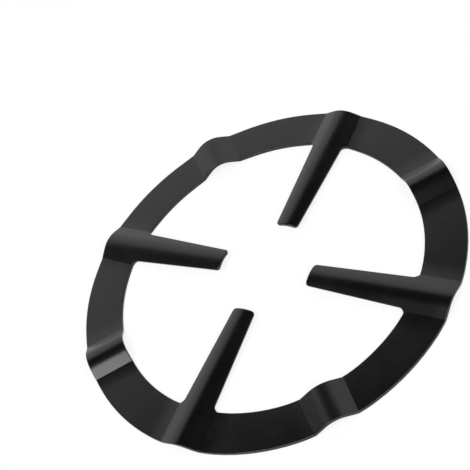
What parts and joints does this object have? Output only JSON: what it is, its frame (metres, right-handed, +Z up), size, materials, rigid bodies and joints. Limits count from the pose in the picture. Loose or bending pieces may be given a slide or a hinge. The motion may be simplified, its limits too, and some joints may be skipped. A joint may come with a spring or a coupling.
{
  "type": "stove reducer ring",
  "caption": "Round pressed sheet-steel reducer ring for a gas hob, with tapered prongs that point inwards and raised ridges across the ring, satin black coat.",
  "frame": {"origin": "middle of the ring, level with the underside of its flats", "axes": "+Z up along the ring's axis, +X along the middle line of one prong"},
  "size_m": [0.14, 0.14, 0.0043],
  "materials": {
    "black_coat": "satin black coat on pressed steel"
  },
  "bodies": {
    "root": {"reducer_ring": "black_coat"}
  },
  "joints": []
}
